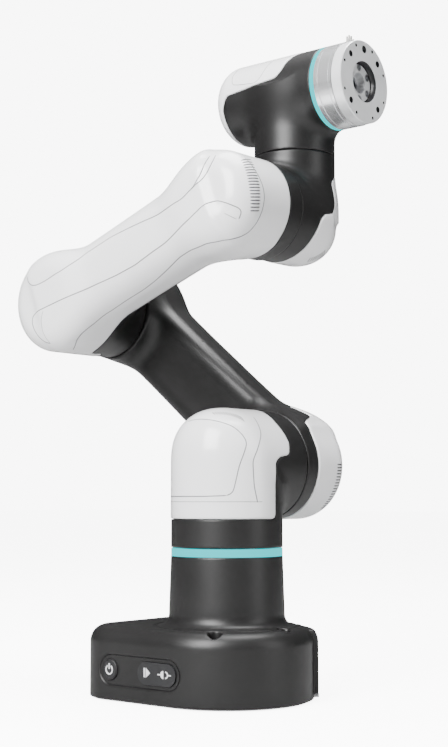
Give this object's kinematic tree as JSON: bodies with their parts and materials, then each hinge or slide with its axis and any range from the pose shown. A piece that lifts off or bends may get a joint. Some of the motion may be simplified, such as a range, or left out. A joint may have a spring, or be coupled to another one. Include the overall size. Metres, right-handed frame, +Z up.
{
  "type": "desktop robot arm",
  "caption": "Six-axis desktop robot arm: round column on a flat base, offset upper arm and forearm, T-shaped wrist with a round tool flange.",
  "frame": {"origin": "waist axis where it meets the underside of the base", "axes": "+Z up along the waist axis; +X towards the round front of the base, the way the tool flange faces; +Y along the shoulder, elbow and first wrist axes, towards the outer side of the upper arm"},
  "size_m": [0.2673, 0.1768, 0.4928],
  "materials": {
    "black_shell": "satin black",
    "white_cover": "glossy white",
    "light_ring": "translucent cyan light guide",
    "steel": "plain",
    "drive_can": "machined",
    "board": "green circuit board",
    "turned_alu": "bright turned",
    "black_plastic": "matt black",
    "contact": "plated"
  },
  "bodies": {
    "base": {"base_housing": "black_shell", "base_plate": "drive_can", "base_plate_screws": "steel", "base_plate_nuts": "steel", "button_bezel": "black_plastic", "button_board": "board", "button_board_posts": "steel", "connector_panel": "black_plastic", "power_inlet": "black_plastic", "network_sockets": "black_plastic", "io_terminal": "black_plastic", "controller_board": "board", "controller_posts": "steel", "power_converter": "drive_can", "base_light_ring": "light_ring", "waist_drive": "drive_can", "waist_drive_stand": "drive_can", "waist_encoder": "board", "waist_encoder_posts": "steel"},
    "power_button": {"power_button": "black_plastic"},
    "mode_key": {"mode_key": "black_plastic"},
    "shoulder": {"waist_output": "drive_can", "shoulder_cover": "white_cover", "shoulder_housing": "black_shell", "shoulder_drive": "drive_can", "shoulder_encoder": "board", "shoulder_drive_cradle": "drive_can"},
    "upper_arm": {"shoulder_output": "drive_can", "upper_arm_housing": "black_shell", "shoulder_end_cover": "white_cover", "elbow_end_cover": "white_cover", "elbow_drive": "drive_can", "elbow_encoder": "board", "shoulder_side_board": "board", "shoulder_board_posts": "steel"},
    "forearm": {"elbow_output": "drive_can", "forearm_cover": "white_cover", "forearm_housing": "black_shell", "wrist_1_drive": "drive_can", "wrist_1_encoder": "board", "elbow_board": "board", "elbow_board_posts": "steel"},
    "wrist_1": {"wrist_1_output": "drive_can", "wrist_1_cover": "white_cover", "wrist_1_housing": "black_shell", "wrist_2_drive": "drive_can", "wrist_2_encoder": "board", "wrist_2_drive_mount": "drive_can"},
    "wrist_2": {"wrist_2_output": "drive_can", "wrist_2_cover": "white_cover", "wrist_2_housing": "black_shell", "tool_light_ring": "light_ring", "tool_end_ring": "turned_alu", "tool_drive": "drive_can", "tool_encoder": "board", "tool_contact_pins": "contact"},
    "tool": {"tool_output": "drive_can", "tool_flange": "turned_alu", "flange_screws": "steel"}
  },
  "joints": [
    {"name": "waist", "type": "hinge", "parent": "base", "child": "shoulder", "pos_m": [0, 0, 0.107], "axis": [0, 0, 1], "range_deg": [-360, 360]},
    {"name": "shoulder_lift", "type": "hinge", "parent": "shoulder", "child": "upper_arm", "pos_m": [0, 0.044, 0.1665], "axis": [0, 1, 0], "range_deg": [-75, 105]},
    {"name": "elbow", "type": "hinge", "parent": "upper_arm", "child": "forearm", "pos_m": [-0.161, 0.044, 0.297], "axis": [0, -1, 0], "range_deg": [-25, 240]},
    {"name": "wrist_tilt", "type": "hinge", "parent": "forearm", "child": "wrist_1", "pos_m": [0, 0.044, 0.3575], "axis": [0, 1, 0], "range_deg": [-70, 150]},
    {"name": "wrist_turn", "type": "hinge", "parent": "wrist_1", "child": "wrist_2", "pos_m": [0, 0.0825, 0.4059], "axis": [0, 0, 1], "range_deg": [-173, 173]},
    {"name": "tool_turn", "type": "hinge", "parent": "wrist_2", "child": "tool", "pos_m": [0.058, 0.0825, 0.4544], "axis": [1, 0, 0], "range_deg": [-360, 360]},
    {"name": "power_press", "type": "slide", "parent": "base", "child": "power_button", "axis": [0, 1, 0], "range_m": [0, 0.0015], "stiffness_N_per_m": 600, "springref_m": -0.001},
    {"name": "mode_press", "type": "slide", "parent": "base", "child": "mode_key", "axis": [0, 1, 0], "range_m": [0, 0.0012], "stiffness_N_per_m": 600, "springref_m": -0.001}
  ]
}
